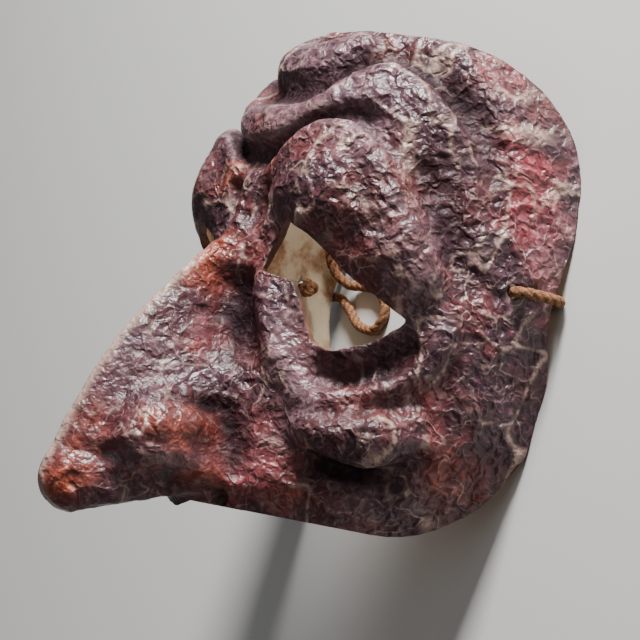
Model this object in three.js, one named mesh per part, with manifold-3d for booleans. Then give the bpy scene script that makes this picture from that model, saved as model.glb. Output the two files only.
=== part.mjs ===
// A commedia dell'arte half mask with a long hooked nose, lying on its back rim, and its tie cord.
// Millimetres. +Z is the way the face looks, +Y the forehead, +X the wearer's left temple.
import * as THREE from "three";
import { mergeVertices } from "three/addons/utils/BufferGeometryUtils.js";
import Module from "manifold-3d";

const wasm = await Module();
wasm.setup();

// Driving dimensions
const WALL = 2.6;
const FACE_TOP = 87;
const FACE_BOTTOM = -87;
const TO_ORIGIN_Y = 5.73;
const CORD_RADIUS = 1.9;

// Head form: half width at the rim and depth to the front, at heights up the face
const STATIONS = [
  { y: -110, halfWidth: 48, depth: 91 },
  { y: -87, halfWidth: 56, depth: 92 },
  { y: -68, halfWidth: 65, depth: 92.5 },
  { y: -45, halfWidth: 72.5, depth: 92 },
  { y: 0, halfWidth: 77.5, depth: 90 },
  { y: 32, halfWidth: 76, depth: 88 },
  { y: 47, halfWidth: 73.5, depth: 86.5 },
  { y: 60, halfWidth: 70, depth: 83 },
  { y: 72, halfWidth: 65, depth: 78 },
  { y: 86, halfWidth: 57, depth: 68 },
  { y: 100, halfWidth: 46, depth: 55 },
];

// Swellings of the left half, mirrored to the right; tilt turns one about X, in degrees
const BROW = { centre: [32, 25, 61], radii: [27, 29, 31], tilt: -10 };
const HOOD = { centre: [50, 12, 50], radii: [18, 24, 20], tilt: -25 };
const CHEEK = { centre: [50, -55, 51], radii: [19, 15, 26], tilt: 0 };
const WING = { centre: [12, -64, 107], radii: [14, 15, 21], tilt: 25 };
const NOSE_KNOB = { centre: [0, -88, 133], radii: [10, 10, 11], tilt: 20 };

// The nose is a wedge along a line from its root to its tip, both in the middle plane
const NOSE = {
  root: [10, 92],
  tip: [-90, 148],
  length: 115,
  bulgeLength: 112,
  bulge: 38,
  ridgeHalfWidth: 3.5,
  flare: 0.42,
  flareGrowth: 0.0016,
  pinch: 2,
  pinchAt: 35,
  pinchSpread: 22,
  underDepth: 17,
  underSlope: 0.86,
};

// Reaches over which neighbouring forms blend
const BLEND = {
  hood: 10, wing: 5, knob: 5, brow: 6, nose: 8, cheek: 7, noseRidge: 6, noseTip: 14, noseUnder: 8,
};
const MIDDLE_ROUNDING = 0.5;

// The form is closed off behind the rim and past the cuts at top and bottom
const CLOSED = { behindZ: -16, aboveY: 98, belowY: -122 };

// Folds reach this far from the bare surface, and this many widths to the side
const FOLD_DEPTH = 16;
const FOLD_WIDTHS = 2.6;

// Folds and furrows of the left half: points are degrees round from the middle of the face and
// height; width and height are the ridge's (a furrow's is below zero); fades are shares of its run
const FOLDS = [
  { name: "middle forehead lobe", at: [[0, 50], [12, 51], [25, 59], [36, 62], [45, 54], [53, 40]],
    width: 11, height: 5, fades: [0, 0.35] },
  { name: "arched forehead crest", at: [[16, 61], [26, 70], [36, 70], [46, 61], [56, 48], [63, 30]],
    width: 3.8, height: 5, fades: [0.2, 0.4] },
  { name: "valley over the crest",
    at: [[0, 62], [11, 62], [21, 72], [31, 78], [43, 73], [56, 60], [64, 45], [69, 22]],
    width: 5.6, height: -8.5, fades: [0, 0.3] },
  { name: "top lobe", at: [[0, 74], [12, 76], [26, 84]],
    width: 8, height: 5, fades: [0, 0.3] },
  { name: "temple swell", at: [[38, 83], [54, 76], [67, 62], [77, 33]],
    width: 9, height: 1.8, fades: [0.3, 0.3] },
  { name: "furrow over the brow", at: [[0, 37], [9, 39], [19, 48], [28, 53], [36, 47], [45, 36]],
    width: 4.3, height: -7.5, fades: [0, 0.35] },
  { name: "brow crest", at: [[5, 29], [14, 40], [26, 47], [36, 40], [43, 26], [50, 10], [58, -12]],
    width: 4.4, height: 4.4, fades: [0.15, 0.25] },
  { name: "furrow outside the brow", at: [[44, 44], [52, 28], [60, 10], [65, -4]],
    width: 6, height: -5, fades: [0.3, 0.4] },
  { name: "fold in the brow", at: [[33, 34], [38, 22], [46, 5]],
    width: 4.5, height: -2.2, fades: [0.4, 0.4] },
  { name: "hood over the eye", at: [[34, 32], [41, 17], [49, 2], [57, -11]],
    width: 9, height: 3, fades: [0.3, 0.25] },
  { name: "frown slit", at: [[9, 30], [6, 20], [3, 10]],
    width: 3.2, height: -5.5, fades: [0.5, 0.4] },
  { name: "frown ridge", at: [[0, 32], [0, 8]],
    width: 4, height: 2, fades: [0.3, 0.3] },
  { name: "temple furrow", at: [[54, 11], [64, 4], [75, -3]],
    width: 3, height: -2, fades: [0.3, 0.3] },
  { name: "temple ridge", at: [[70, 22], [77, 11], [83, 5]],
    width: 3.5, height: 1.6, fades: [0.3, 0.3] },
  { name: "strip beside the eye", at: [[11, -3], [16, -18], [23, -35], [31, -52]],
    width: 5.2, height: 5, fades: [0.2, 0.45] },
  { name: "hollow beside the nose", at: [[7, -2], [8, -20], [14, -42]],
    width: 9, height: -6, fades: [0.3, 0.4] },
  { name: "crest under the eye", at: [[25, -40], [34, -45], [46, -39], [56, -28], [60, -15], [57, -4]],
    width: 4.2, height: 5.2, fades: [0.2, 0.3] },
  { name: "trough under the eye", at: [[30, -34], [38, -36], [48, -30], [55, -19]],
    width: 5.5, height: -6, fades: [0.25, 0.25] },
  { name: "lower lid", at: [[30, -29], [39, -28], [50, -18]],
    width: 2.6, height: 1.5, fades: [0.15, 0.15] },
  { name: "fold over the cheek", at: [[32, -50], [44, -47], [60, -35]],
    width: 4.5, height: -3, fades: [0.3, 0.3] },
  { name: "crescent under the cheek", at: [[31, -64], [42, -69.5], [54, -67.5], [64, -57]],
    width: 5, height: -11, fades: [0.3, 0.3] },
  { name: "lip under the crescent", at: [[31, -73], [43, -79], [57, -75], [67, -63]],
    width: 6, height: 3, fades: [0.3, 0.3] },
  { name: "groove round the nostril wing",
    at: [[9, -56.5], [11, -52.5], [13, -54], [15.5, -60.5], [17.5, -69.5], [18, -80]],
    width: 4.6, height: -6, fades: [0.3, 0.25] },
  { name: "fold along the wing", at: [[2, -74], [8, -71], [13, -63]],
    width: 3.2, height: 2.4, fades: [0.3, 0.2] },
  { name: "lower edge of the wing", at: [[4, -84], [8, -77], [12, -74], [15, -79]],
    width: 4, height: 3.4, fades: [0.2, 0.2] },
  { name: "cove under the wing", at: [[6, -89], [10, -84], [15, -86]],
    width: 5, height: -3.8, fades: [0.2, 0.2] },
  { name: "crease in the nose tip", at: [[4, -84], [4, -92]],
    width: 3, height: -1.8, fades: [0.3, 0.3] },
];

// Left eye opening, seen along EYE_CUT through a plane 70 mm up: across and up the face
const EYE_OUTLINE = [
  [13, -5], [16, 3], [21, 10], [25, 13], [36, 9], [49, -2], [60, -8], [70, -14],
  [65, -20], [58, -25], [48, -29], [40, -27], [33, -14], [28, -7],
];
const EYE_PLANE_Z = 70;
const EYE_CUT = [0.35, 0, 0.94];

// Rim seen from the side: flats to rest on, a low arch between them and round corners
const RIM = {
  flatFrom: 33,
  archHeight: 5.2,
  topRadii: [45, 48],
  bottomFlatTo: -40,
  bottomRadii: [47, 42],
  noseClearZ: 98,
};

// Tie holes in the temples
const TIE_HOLE = { x: 76, y: 3, z: 20, radius: 2.7, cutLength: 30, sides: 16 };

// The cord leaves a knot inside the left temple through the tie hole, goes round the rim under the
// arch, lies loosely inside the mask and leans on the right wall, then goes round that rim alike
const KNOT_RADIUS = 4.2;
const CORD_SIDES = 8;
const CORD_STEPS = 80;
const CORD_ROUND_RIM = [
  [68.2, 3, 20], [73, 3, 20], [77.5, 3, 19.6], [80.2, 3, 16.5],
  [80.6, 3, 11], [80.3, 3, 6], [78.6, 3, 3], [74.5, 3, 2.2],
];
const CORD_INSIDE = [
  [66, 0, 2.1], [54, -12, 2.1], [36, -20, 2.1], [20, -12, 2.1], [16, 6, 2.1], [10, 26, 2.1],
  [-8, 40, 2.1], [-34, 43, 2.1], [-55, 38, 3.2], [-65, 29, 9], [-69.5, 20, 13], [-70, 12, 9],
  [-66.5, 8, 4], [-58, 7.5, 2.1], [-46, 6, 2.1], [-37.5, -1, 2.1], [-42, -9, 2.1], [-55, -8, 2.1],
  [-66, -1, 2.1],
];

// Grid size of the form, and the triangles kept of each face before the cuts and of the shell after
const CELL = 2.2;
const OUTER_TRIANGLES = 9000;
const INNER_TRIANGLES = 2600;
const SHELL_TRIANGLES = 8500;
const BOX_LOW = [-90, -128, -20];
const BOX_HIGH = [90, 106, 168];

// Smooth minimum and maximum of two distances, blended over a reach
function join(a, b, reach) {
  const h = Math.max(reach - Math.abs(a - b), 0) / reach;
  return Math.min(a, b) - (h * h * reach) / 4;
}

function meet(a, b, reach) {
  return -join(-a, -b, reach);
}

// A station's value at a height, along a smooth curve through all stations
function stationValue(y, key) {
  let i = 0;
  while (i < STATIONS.length - 2 && y > STATIONS[i + 1].y) i += 1;
  const slope = (k) => {
    const low = STATIONS[Math.max(k - 1, 0)];
    const high = STATIONS[Math.min(k + 1, STATIONS.length - 1)];
    return (high[key] - low[key]) / (high.y - low.y);
  };
  const run = STATIONS[i + 1].y - STATIONS[i].y;
  const t = THREE.MathUtils.clamp((y - STATIONS[i].y) / run, 0, 1);
  const t2 = t * t;
  const t3 = t2 * t;
  return (2 * t3 - 3 * t2 + 1) * STATIONS[i][key] + (t3 - 2 * t2 + t) * run * slope(i)
    + (3 * t2 - 2 * t3) * STATIONS[i + 1][key] + (t3 - t2) * run * slope(i + 1);
}

function headDistance(x, y, z) {
  const w = stationValue(y, "halfWidth");
  const d = stationValue(y, "depth");
  const k0 = Math.hypot(x / w, z / d) + 1e-9;
  const k1 = Math.hypot(x / (w * w), z / (d * d)) + 1e-9;
  return (k0 * (k0 - 1)) / k1;
}

function swellingDistance(x, y, z, swelling) {
  const [cx, cy, cz] = swelling.centre;
  const [rx, ry, rz] = swelling.radii;
  const turn = THREE.MathUtils.degToRad(swelling.tilt);
  const px = x - cx;
  const py = (y - cy) * Math.cos(turn) + (z - cz) * Math.sin(turn);
  const pz = (z - cz) * Math.cos(turn) - (y - cy) * Math.sin(turn);
  const k0 = Math.hypot(px / rx, py / ry, pz / rz) + 1e-9;
  const k1 = Math.hypot(px / (rx * rx), py / (ry * ry), pz / (rz * rz)) + 1e-9;
  return (k0 * (k0 - 1)) / k1;
}

function noseDistance(x, y, z) {
  const [rootY, rootZ] = NOSE.root;
  const span = Math.hypot(NOSE.tip[0] - rootY, NOSE.tip[1] - rootZ);
  const alongY = (NOSE.tip[0] - rootY) / span;
  const alongZ = (NOSE.tip[1] - rootZ) / span;
  const s = (y - rootY) * alongY + (z - rootZ) * alongZ;
  const q = (y - rootY) * alongZ - (z - rootZ) * alongY;
  const u = THREE.MathUtils.clamp(s / NOSE.bulgeLength, -0.3, 1.3);
  const below = NOSE.bulge * u * (1 - u) * (1.25 - 0.5 * u) - q;
  const growth = NOSE.flareGrowth * Math.max(below - 10, 0) ** 2;
  const pinch = NOSE.pinch * Math.exp(-(((s - NOSE.pinchAt) / NOSE.pinchSpread) ** 2));
  const half = NOSE.ridgeHalfWidth + NOSE.flare * below + growth - pinch;
  const side = (Math.hypot(x, 2) - half) * 0.9;
  const under = ((s - NOSE.length) * NOSE.underSlope - NOSE.underDepth - q)
    / Math.hypot(1, NOSE.underSlope);
  let d = meet(side, -below, BLEND.noseRidge);
  d = meet(d, s - NOSE.length, BLEND.noseTip);
  return meet(d, under, BLEND.noseUnder);
}

// The bare form, before its folds: head, brows, cheeks, nose and nostril wings
function bareDistance(xSigned, y, z) {
  const x = Math.sqrt(xSigned * xSigned + MIDDLE_ROUNDING);
  const brow = join(swellingDistance(x, y, z, BROW), swellingDistance(x, y, z, HOOD), BLEND.hood);
  let nose = join(noseDistance(x, y, z), swellingDistance(x, y, z, WING), BLEND.wing);
  nose = join(nose, swellingDistance(x, y, z, NOSE_KNOB), BLEND.knob);
  let d = join(headDistance(x, y, z), brow, BLEND.brow);
  d = join(d, nose, BLEND.nose);
  return join(d, swellingDistance(x, y, z, CHEEK), BLEND.cheek);
}

// The point of the bare form at an angle round from the middle of the face and a height
function onFace(degrees, y) {
  const turn = THREE.MathUtils.degToRad(degrees);
  const near = 0.01;
  const mostSteps = 400;
  let reach = 190;
  for (let step = 0; step < mostSteps; step += 1) {
    const d = bareDistance(reach * Math.sin(turn), y, reach * Math.cos(turn));
    if (d < near) break;
    reach -= Math.max(0.5 * d, near);
  }
  return [reach * Math.sin(turn), y, reach * Math.cos(turn)];
}

const SPANS_BETWEEN_POINTS = 3;

function foldLine(fold) {
  const curve = new THREE.SplineCurve(fold.at.map(([degrees, y]) => new THREE.Vector2(degrees, y)));
  const spans = SPANS_BETWEEN_POINTS * (fold.at.length - 1);
  const points = curve.getPoints(spans).map((p) => onFace(p.x, p.y));
  const box = new THREE.Box3().setFromPoints(points.map((p) => new THREE.Vector3(...p)));
  box.expandByScalar(FOLD_WIDTHS * fold.width);
  return { ...fold, points, box };
}

const FOLD_LINES = FOLDS.map(foldLine);

function fade(u, share) {
  return share > 0 ? THREE.MathUtils.clamp(u / share, 0, 1) : 1;
}

// How far a fold lifts the surface at a point
function foldLift(x, y, z, fold) {
  const { min, max } = fold.box;
  if (x < min.x || x > max.x || y < min.y || y > max.y || z < min.z || z > max.z) return 0;
  let nearest = Infinity;
  let along = 0;
  const spans = fold.points.length - 1;
  for (let i = 0; i < spans; i += 1) {
    const [ax, ay, az] = fold.points[i];
    const [bx, by, bz] = fold.points[i + 1];
    const dx = bx - ax;
    const dy = by - ay;
    const dz = bz - az;
    const length2 = dx * dx + dy * dy + dz * dz;
    const dot = (x - ax) * dx + (y - ay) * dy + (z - az) * dz;
    const t = Math.min(Math.max(dot / length2, 0), 1);
    const gap = (x - ax - t * dx) ** 2 + (y - ay - t * dy) ** 2 + (z - az - t * dz) ** 2;
    if (gap < nearest) {
      nearest = gap;
      along = (i + t) / spans;
    }
  }
  const strength = fade(along, fold.fades[0]) * fade(1 - along, fold.fades[1]);
  const smooth = strength * strength * (3 - 2 * strength);
  return fold.height * smooth * Math.exp(-nearest / (fold.width * fold.width));
}

// The outer face as a signed distance, closed behind and beyond the rim's cut
function faceDistance(xSigned, y, z) {
  const x = Math.sqrt(xSigned * xSigned + MIDDLE_ROUNDING);
  let d = bareDistance(xSigned, y, z);
  if (Math.abs(d) < FOLD_DEPTH) {
    for (const fold of FOLD_LINES) d -= foldLift(x, y, z, fold);
  }
  return Math.max(d, CLOSED.behindZ - z, y - CLOSED.aboveY, CLOSED.belowY - y);
}

function sampleForm() {
  const count = [0, 1, 2].map((a) => Math.ceil((BOX_HIGH[a] - BOX_LOW[a]) / CELL) + 1);
  const values = new Float32Array(count[0] * count[1] * count[2]);
  let n = 0;
  for (let k = 0; k < count[2]; k += 1) {
    for (let j = 0; j < count[1]; j += 1) {
      for (let i = 0; i < count[0]; i += 1) {
        values[n] = faceDistance(BOX_LOW[0] + i * CELL, BOX_LOW[1] + j * CELL, BOX_LOW[2] + k * CELL);
        n += 1;
      }
    }
  }
  return { count, values };
}

// The form's values less a level, with no grid square whose corners are in and out by turns: two
// sheets of the surface would touch along such a square
function clearOfSaddles({ count, values }, level) {
  const [nx, ny, nz] = count;
  const shifted = values.map((value) => value - level);
  const strides = [1, nx, nx * ny];
  const nudge = 0.01;
  let saddles = 1;
  while (saddles > 0) {
    saddles = 0;
    for (let k = 0; k < nz - 1; k += 1) {
      for (let j = 0; j < ny - 1; j += 1) {
        for (let i = 0; i < nx - 1; i += 1) {
          const n = (k * ny + j) * nx + i;
          for (let axis = 0; axis < 3; axis += 1) {
            const one = strides[axis];
            const two = strides[(axis + 1) % 3];
            const square = [n, n + one, n + one + two, n + two];
            const [a, b, c, d] = square.map((corner) => shifted[corner] < 0);
            if (a !== c || b !== d || a === b) continue;
            const least = square.reduce((x, y) => (Math.abs(shifted[y]) < Math.abs(shifted[x]) ? y : x));
            shifted[least] = shifted[least] < 0 ? nudge : -nudge;
            saddles += 1;
          }
        }
      }
    }
  }
  return shifted;
}

// The closed surface where the form has a level: one vertex in each grid cell that it crosses
function levelSurface(form, level) {
  const { count } = form;
  const [nx, ny] = count;
  const values = clearOfSaddles(form, level);
  const at = (i, j, k) => values[(k * ny + j) * nx + i];
  const vertexOf = new Map();
  const points = [];
  const cellVertex = (i, j, k) => {
    const key = (k * ny + j) * nx + i;
    if (vertexOf.has(key)) return vertexOf.get(key);
    const sum = [0, 0, 0];
    let crossings = 0;
    for (let axis = 0; axis < 3; axis += 1) {
      for (let p = 0; p < 4; p += 1) {
        const from = [i, j, k];
        from[(axis + 1) % 3] += p & 1;
        from[(axis + 2) % 3] += p >> 1;
        const to = [...from];
        to[axis] += 1;
        const a = at(...from);
        const b = at(...to);
        if (a < 0 !== b < 0) {
          const place = [...from];
          place[axis] += a / (a - b);
          place.forEach((v, c) => { sum[c] += v; });
          crossings += 1;
        }
      }
    }
    const vertex = points.length;
    points.push(sum.map((v, c) => BOX_LOW[c] + (v / crossings) * CELL));
    vertexOf.set(key, vertex);
    return vertex;
  };
  const triangles = [];
  for (let k = 1; k < count[2] - 1; k += 1) {
    for (let j = 1; j < count[1] - 1; j += 1) {
      for (let i = 1; i < count[0] - 1; i += 1) {
        const here = [i, j, k];
        const inside = at(i, j, k) < 0;
        for (let axis = 0; axis < 3; axis += 1) {
          const next = [...here];
          next[axis] += 1;
          if (inside === at(...next) < 0) continue;
          const ring = [[-1, -1], [0, -1], [0, 0], [-1, 0]].map(([p, q]) => {
            const cell = [...here];
            cell[(axis + 1) % 3] += p;
            cell[(axis + 2) % 3] += q;
            return cellVertex(...cell);
          });
          if (!inside) ring.reverse();
          triangles.push([ring[0], ring[1], ring[2]], [ring[0], ring[2], ring[3]]);
        }
      }
    }
  }
  return { points, triangles };
}

// Moves each vertex onto the exact level of the form
function settle({ points, triangles }, level) {
  const step = 0.3;
  const settled = points.map((point) => {
    let p = [...point];
    for (let round = 0; round < 2; round += 1) {
      const d = faceDistance(...p) - level;
      const slope = [0, 1, 2].map((a) => {
        const ahead = [...p];
        const behind = [...p];
        ahead[a] += step;
        behind[a] -= step;
        return (faceDistance(...ahead) - faceDistance(...behind)) / (2 * step);
      });
      const size2 = slope[0] ** 2 + slope[1] ** 2 + slope[2] ** 2 + 1e-6;
      const push = THREE.MathUtils.clamp(d / size2, -CELL / 2, CELL / 2);
      p = p.map((v, a) => v - slope[a] * push);
    }
    return p;
  });
  return { points: settled, triangles };
}

// A queue of edges, cheapest first
class CheapestFirst {
  constructor() {
    this.items = [];
  }

  push(item) {
    const items = this.items;
    let i = items.length;
    items.push(item);
    while (i > 0) {
      const parent = (i - 1) >> 1;
      if (items[parent].cost <= item.cost) break;
      items[i] = items[parent];
      i = parent;
    }
    items[i] = item;
  }

  pop() {
    const items = this.items;
    const top = items[0];
    const item = items.pop();
    if (items.length === 0) return top;
    let i = 0;
    for (;;) {
      let child = 2 * i + 1;
      if (child >= items.length) break;
      if (child + 1 < items.length && items[child + 1].cost < items[child].cost) child += 1;
      if (items[child].cost >= item.cost) break;
      items[i] = items[child];
      i = child;
    }
    items[i] = item;
    return top;
  }
}

const minus = (a, b) => [a[0] - b[0], a[1] - b[1], a[2] - b[2]];
const dot = (a, b) => a[0] * b[0] + a[1] * b[1] + a[2] * b[2];
const cross = (a, b) => [
  a[1] * b[2] - a[2] * b[1],
  a[2] * b[0] - a[0] * b[2],
  a[0] * b[1] - a[1] * b[0],
];

// Joins edges, least change of shape first, until a surface has few enough triangles. Each vertex
// carries the summed squares of the planes round it, as the ten values of a symmetric matrix.
function coarsen({ points, triangles }, wanted) {
  const place = points.map((p) => [...p]);
  const corners = triangles.map((t) => [...t]);
  const facesOf = place.map(() => new Set());
  const planes = place.map(() => new Float64Array(10));
  const stamp = new Int32Array(place.length);
  const evenness = 0.002;
  const leastArea2 = 0.02;
  const leastCosine = 0.35;
  const leastDeterminant = 1e-3;

  const normalOf = (a, b, c) => cross(minus(b, a), minus(c, a));
  corners.forEach((face, f) => {
    const [a, b, c] = face.map((v) => place[v]);
    const n = normalOf(a, b, c);
    const area2 = Math.hypot(...n) + 1e-12;
    const [nx, ny, nz] = n.map((v) => v / area2);
    const w = -(nx * a[0] + ny * a[1] + nz * a[2]);
    const square = [nx * nx, nx * ny, nx * nz, nx * w, ny * ny, ny * nz, ny * w, nz * nz, nz * w, w * w];
    for (const v of face) {
      facesOf[v].add(f);
      square.forEach((value, i) => { planes[v][i] += value * area2; });
    }
  });

  const errorAt = (q, [x, y, z]) => q[0] * x * x + 2 * q[1] * x * y + 2 * q[2] * x * z + 2 * q[3] * x
    + q[4] * y * y + 2 * q[5] * y * z + 2 * q[6] * y + q[7] * z * z + 2 * q[8] * z + q[9];

  // The place that a joined edge takes: where the planes best meet, if that is near the edge
  const joinedPlace = (q, a, b) => {
    const middle = a.map((v, i) => (v + b[i]) / 2);
    const rows = [[q[0], q[1], q[2]], [q[1], q[4], q[5]], [q[2], q[5], q[7]]];
    const right = [-q[3], -q[6], -q[8]];
    const det = dot(rows[0], cross(rows[1], rows[2]));
    const scale = (q[0] + q[4] + q[7]) / 3;
    if (Math.abs(det) > leastDeterminant * scale ** 3) {
      const columns = [cross(rows[1], rows[2]), cross(rows[2], rows[0]), cross(rows[0], rows[1])];
      const best = [0, 1, 2].map((i) => (
        columns[0][i] * right[0] + columns[1][i] * right[1] + columns[2][i] * right[2]) / det);
      if (Math.hypot(...minus(best, middle)) < Math.hypot(...minus(a, b))) return best;
    }
    const options = [middle, a, b];
    options.sort((p, r) => errorAt(q, p) - errorAt(q, r));
    return options[0];
  };

  const queue = new CheapestFirst();
  const offer = (u, v) => {
    const q = planes[u].map((value, i) => value + planes[v][i]);
    const to = joinedPlace(q, place[u], place[v]);
    const length = Math.hypot(...minus(place[u], place[v]));
    queue.push({ cost: errorAt(q, to) + evenness * length ** 4, u, v, to, su: stamp[u], sv: stamp[v] });
  };
  const neighbours = (v) => {
    const found = new Set();
    for (const f of facesOf[v]) corners[f].forEach((c) => { if (c !== v) found.add(c); });
    return found;
  };
  for (let v = 0; v < place.length; v += 1) {
    for (const other of neighbours(v)) if (v < other) offer(v, other);
  }

  const staysUpright = (v, gone, to) => {
    for (const f of facesOf[v]) {
      const face = corners[f];
      if (face.includes(gone)) continue;
      const before = normalOf(...face.map((c) => place[c]));
      const after = normalOf(...face.map((c) => (c === v ? to : place[c])));
      const sizes = Math.hypot(...before) * Math.hypot(...after);
      if (Math.hypot(...after) < leastArea2 || dot(before, after) < leastCosine * sizes) return false;
    }
    return true;
  };

  let left = corners.length;
  while (left > wanted && queue.items.length > 0) {
    const { u, v, to, su, sv } = queue.pop();
    if (stamp[u] !== su || stamp[v] !== sv) continue;
    const around = neighbours(u);
    const shared = [...neighbours(v)].filter((c) => around.has(c));
    if (shared.length !== 2 || shared.some((c) => facesOf[c].size < 4)) continue;
    if (!staysUpright(u, v, to) || !staysUpright(v, u, to)) continue;
    place[u] = to;
    planes[u].forEach((value, i) => { planes[u][i] = value + planes[v][i]; });
    for (const f of facesOf[v]) {
      const face = corners[f];
      if (face.includes(u)) {
        face.forEach((c) => facesOf[c].delete(f));
        corners[f] = null;
        left -= 1;
      } else {
        face[face.indexOf(v)] = u;
        facesOf[u].add(f);
      }
    }
    facesOf[v].clear();
    stamp[u] += 1;
    stamp[v] = -1;
    for (const other of neighbours(u)) offer(u, other);
  }
  return packed(place, corners.filter((face) => face !== null));
}

// Brings the corners of the rim's rests back onto the floor
function levelled({ points, triangles }) {
  const slack = 0.15;
  return { points: points.map(([x, y, z]) => [x, y, Math.abs(z) < slack ? 0 : z]), triangles };
}

// Drops the points that no triangle uses
function packed(points, triangles) {
  const renumbered = new Map();
  const kept = [];
  const faces = triangles.map((face) => face.map((v) => {
    if (!renumbered.has(v)) {
      renumbered.set(v, kept.length);
      kept.push(points[v]);
    }
    return renumbered.get(v);
  }));
  return { points: kept, triangles: faces };
}

function solidOfMesh({ points, triangles }) {
  return new wasm.Manifold(new wasm.Mesh({
    numProp: 3,
    vertProperties: new Float32Array(points.flat()),
    triVerts: new Uint32Array(triangles.flat()),
  }));
}

function solidOfGeometry(geometry) {
  const bare = geometry.clone();
  bare.deleteAttribute("normal");
  bare.deleteAttribute("uv");
  const merged = mergeVertices(bare, 1e-4);
  return new wasm.Manifold(new wasm.Mesh({
    numProp: 3,
    vertProperties: new Float32Array(merged.attributes.position.array),
    triVerts: new Uint32Array(merged.index.array),
  }));
}

function meshOfSolid(solid) {
  const { vertProperties, triVerts } = solid.getMesh();
  const threes = (list) => Array.from({ length: list.length / 3 }, (_, i) => (
    [list[3 * i], list[3 * i + 1], list[3 * i + 2]]));
  return { points: threes(vertProperties), triangles: threes(triVerts) };
}

function geometryOfMesh({ points, triangles }) {
  const geometry = new THREE.BufferGeometry();
  geometry.setAttribute("position", new THREE.Float32BufferAttribute(points.flat(), 3));
  geometry.setIndex(triangles.flat());
  geometry.computeVertexNormals();
  return geometry;
}

// The side outline that the rim is cut to, swept right across the face
function rimBlock() {
  const [topRy, topRz] = RIM.topRadii;
  const [bottomRy, bottomRz] = RIM.bottomRadii;
  const beyondZ = 200;
  const beyondY = -125;
  const frontZ = RIM.noseClearZ - 6;
  const halfSpan = 100;
  const outline = new THREE.Shape();
  outline.moveTo(FACE_TOP, beyondZ);
  outline.lineTo(FACE_TOP, topRz);
  outline.absellipse(FACE_TOP - topRy, topRz, topRy, topRz, 0, -Math.PI / 2, true, 0);
  const archSteps = 12;
  for (let i = 0; i <= archSteps; i += 1) {
    const y = RIM.flatFrom * (1 - (2 * i) / archSteps);
    outline.lineTo(y, RIM.archHeight * Math.cos(((Math.PI / 2) * y) / RIM.flatFrom) ** 2);
  }
  outline.lineTo(RIM.bottomFlatTo, 0);
  outline.absellipse(FACE_BOTTOM + bottomRy, bottomRz, bottomRy, bottomRz, -Math.PI / 2, -Math.PI, true, 0);
  outline.lineTo(FACE_BOTTOM, frontZ);
  outline.lineTo(beyondY, RIM.noseClearZ);
  outline.lineTo(beyondY, beyondZ);
  const block = new THREE.ExtrudeGeometry(outline, {
    depth: 2 * halfSpan,
    bevelEnabled: false,
    curveSegments: 9,
  });
  const toSide = new THREE.Matrix4().makeBasis(
    new THREE.Vector3(0, 1, 0),
    new THREE.Vector3(0, 0, 1),
    new THREE.Vector3(1, 0, 0),
  );
  return solidOfGeometry(block.translate(0, 0, -halfSpan).applyMatrix4(toSide));
}

// An eye opening's cutter, along EYE_CUT; side is 1 for the left eye and -1 for the right
function eyeBlock(side) {
  const outline = new THREE.Shape(EYE_OUTLINE.map(([x, y]) => new THREE.Vector2(side * x, y)));
  const depth = 120;
  const lean = (side * EYE_CUT[0]) / EYE_CUT[2];
  const block = new THREE.ExtrudeGeometry(outline, { depth, bevelEnabled: false });
  block.translate(0, 0, -depth / 2);
  const place = block.attributes.position;
  for (let i = 0; i < place.count; i += 1) {
    place.setX(i, place.getX(i) + lean * place.getZ(i));
    place.setZ(i, place.getZ(i) + EYE_PLANE_Z);
  }
  return solidOfGeometry(block);
}

function tieHoleBlock(side) {
  const { radius, cutLength, sides } = TIE_HOLE;
  const hole = new THREE.CylinderGeometry(radius, radius, cutLength, sides);
  hole.rotateZ(Math.PI / 2);
  hole.translate(side * TIE_HOLE.x, TIE_HOLE.y, TIE_HOLE.z);
  return solidOfGeometry(hole);
}

function maskShell() {
  const form = sampleForm();
  const outer = coarsen(settle(levelSurface(form, 0), 0), OUTER_TRIANGLES);
  const inner = coarsen(levelSurface(form, -WALL), INNER_TRIANGLES);
  let shell = solidOfMesh(outer).subtract(solidOfMesh(inner));
  shell = shell.intersect(rimBlock());
  for (const side of [1, -1]) {
    shell = shell.subtract(eyeBlock(side)).subtract(tieHoleBlock(side));
  }
  const mesh = new THREE.Mesh(
    geometryOfMesh(levelled(coarsen(meshOfSolid(shell), SHELL_TRIANGLES))),
    new THREE.MeshStandardMaterial({ color: 0x5a3336, roughness: 0.5, metalness: 0 }),
  );
  mesh.name = "mask_shell";
  return mesh;
}

function cordCurve() {
  const farSide = CORD_ROUND_RIM.map(([x, y, z]) => [-x, y, z]).reverse();
  const route = [...CORD_ROUND_RIM, ...CORD_INSIDE, ...farSide];
  return new THREE.CatmullRomCurve3(route.map((p) => new THREE.Vector3(...p)));
}

function tieCord() {
  const curve = cordCurve();
  const corners = [];
  for (let i = 0; i < CORD_SIDES; i += 1) {
    const turn = (2 * Math.PI * i) / CORD_SIDES;
    corners.push(new THREE.Vector2(CORD_RADIUS * Math.cos(turn), CORD_RADIUS * Math.sin(turn)));
  }
  const tube = new THREE.ExtrudeGeometry(new THREE.Shape(corners), {
    steps: CORD_STEPS,
    extrudePath: curve,
    bevelEnabled: false,
  });
  let cord = solidOfGeometry(tube);
  for (const end of [0, 1]) {
    const knot = new THREE.SphereGeometry(KNOT_RADIUS, 12, 8);
    const place = curve.getPoint(end);
    cord = cord.add(solidOfGeometry(knot.translate(place.x, place.y, place.z)));
  }
  const mesh = new THREE.Mesh(
    geometryOfMesh(meshOfSolid(cord)),
    new THREE.MeshStandardMaterial({ color: 0x8a4a22, roughness: 0.9, metalness: 0 }),
  );
  mesh.name = "tie_cord";
  return mesh;
}

const group = new THREE.Group();
const face = new THREE.Group();
face.position.y = TO_ORIGIN_Y;
face.add(maskShell(), tieCord());
group.add(face);

export default group;
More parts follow.
